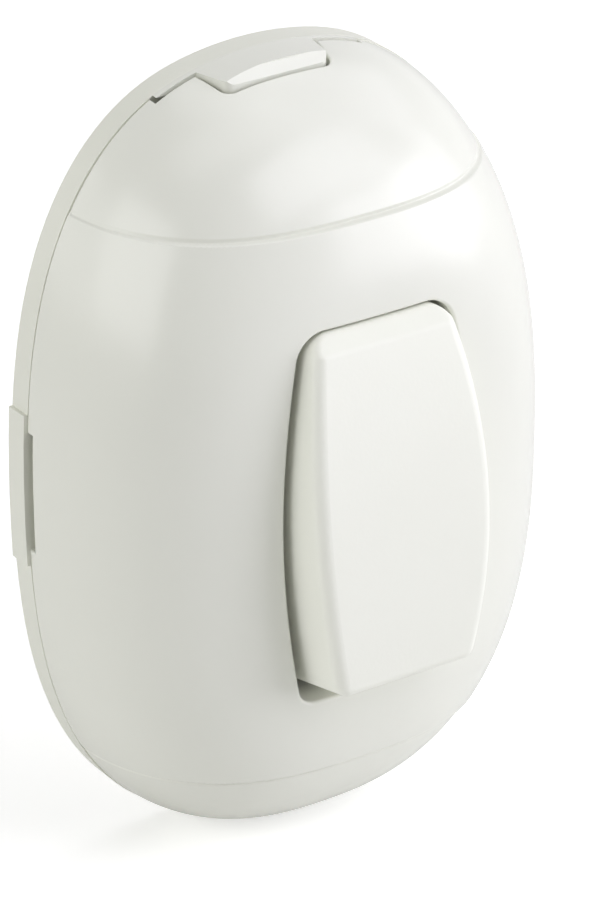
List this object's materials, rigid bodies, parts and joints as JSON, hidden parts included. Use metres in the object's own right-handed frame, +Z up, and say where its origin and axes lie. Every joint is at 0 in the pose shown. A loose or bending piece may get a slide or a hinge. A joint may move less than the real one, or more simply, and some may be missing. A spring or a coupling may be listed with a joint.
{
  "type": "doorbell push button",
  "caption": "Surface-mounted oval doorbell push: domed white cover on a back plate, with a wide sprung rocking button that closes a leaf contact inside.",
  "frame": {"origin": "centre of the housing's outline on the wall plane, on the back face of the back plate", "axes": "+X to the right as seen from the front, +Y into the wall, +Z up; the button faces -Y"},
  "size_m": [0.0474, 0.0243, 0.0702],
  "materials": {
    "shell": "white moulded ABS, semi-gloss",
    "button": "white moulded ABS, fine satin grain",
    "mechanism": "ivory polyamide",
    "steel": "bright steel",
    "spring_steel": "spring wire",
    "zinc": "zinc plated",
    "brass": "stamped brass",
    "brass_screw": "turned brass",
    "bronze": "rolled phosphor bronze",
    "silver": "silver contact rivet"
  },
  "bodies": {
    "base": {"back_plate": "shell", "cable_entry_blank": "shell", "pivot_pin": "steel", "contact_block": "mechanism", "block_screws": "steel", "fixed_contact": "brass", "moving_contact": "bronze", "fixed_contact_tip": "silver", "moving_contact_tip": "silver", "terminal_inserts": "brass", "terminal_washers": "zinc", "terminal_screws": "brass_screw", "return_spring": "spring_steel"},
    "button": {"push_button": "button", "rocker_frame": "mechanism"},
    "cover": {"cover": "shell"}
  },
  "joints": [
    {"name": "button_press", "type": "hinge", "parent": "base", "child": "button", "pos_m": [0, -0.012, 0], "axis": [1, 0, 0], "range_deg": [0, 6.3], "stiffness_Nm_per_rad": 0.06, "springref_deg": -17.19, "deforming": ["return_spring", "moving_contact", "moving_contact_tip"]},
    {"name": "cover_pull", "type": "slide", "parent": "base", "child": "cover", "axis": [0, -1, 0], "range_m": [0, 0.035]}
  ]
}
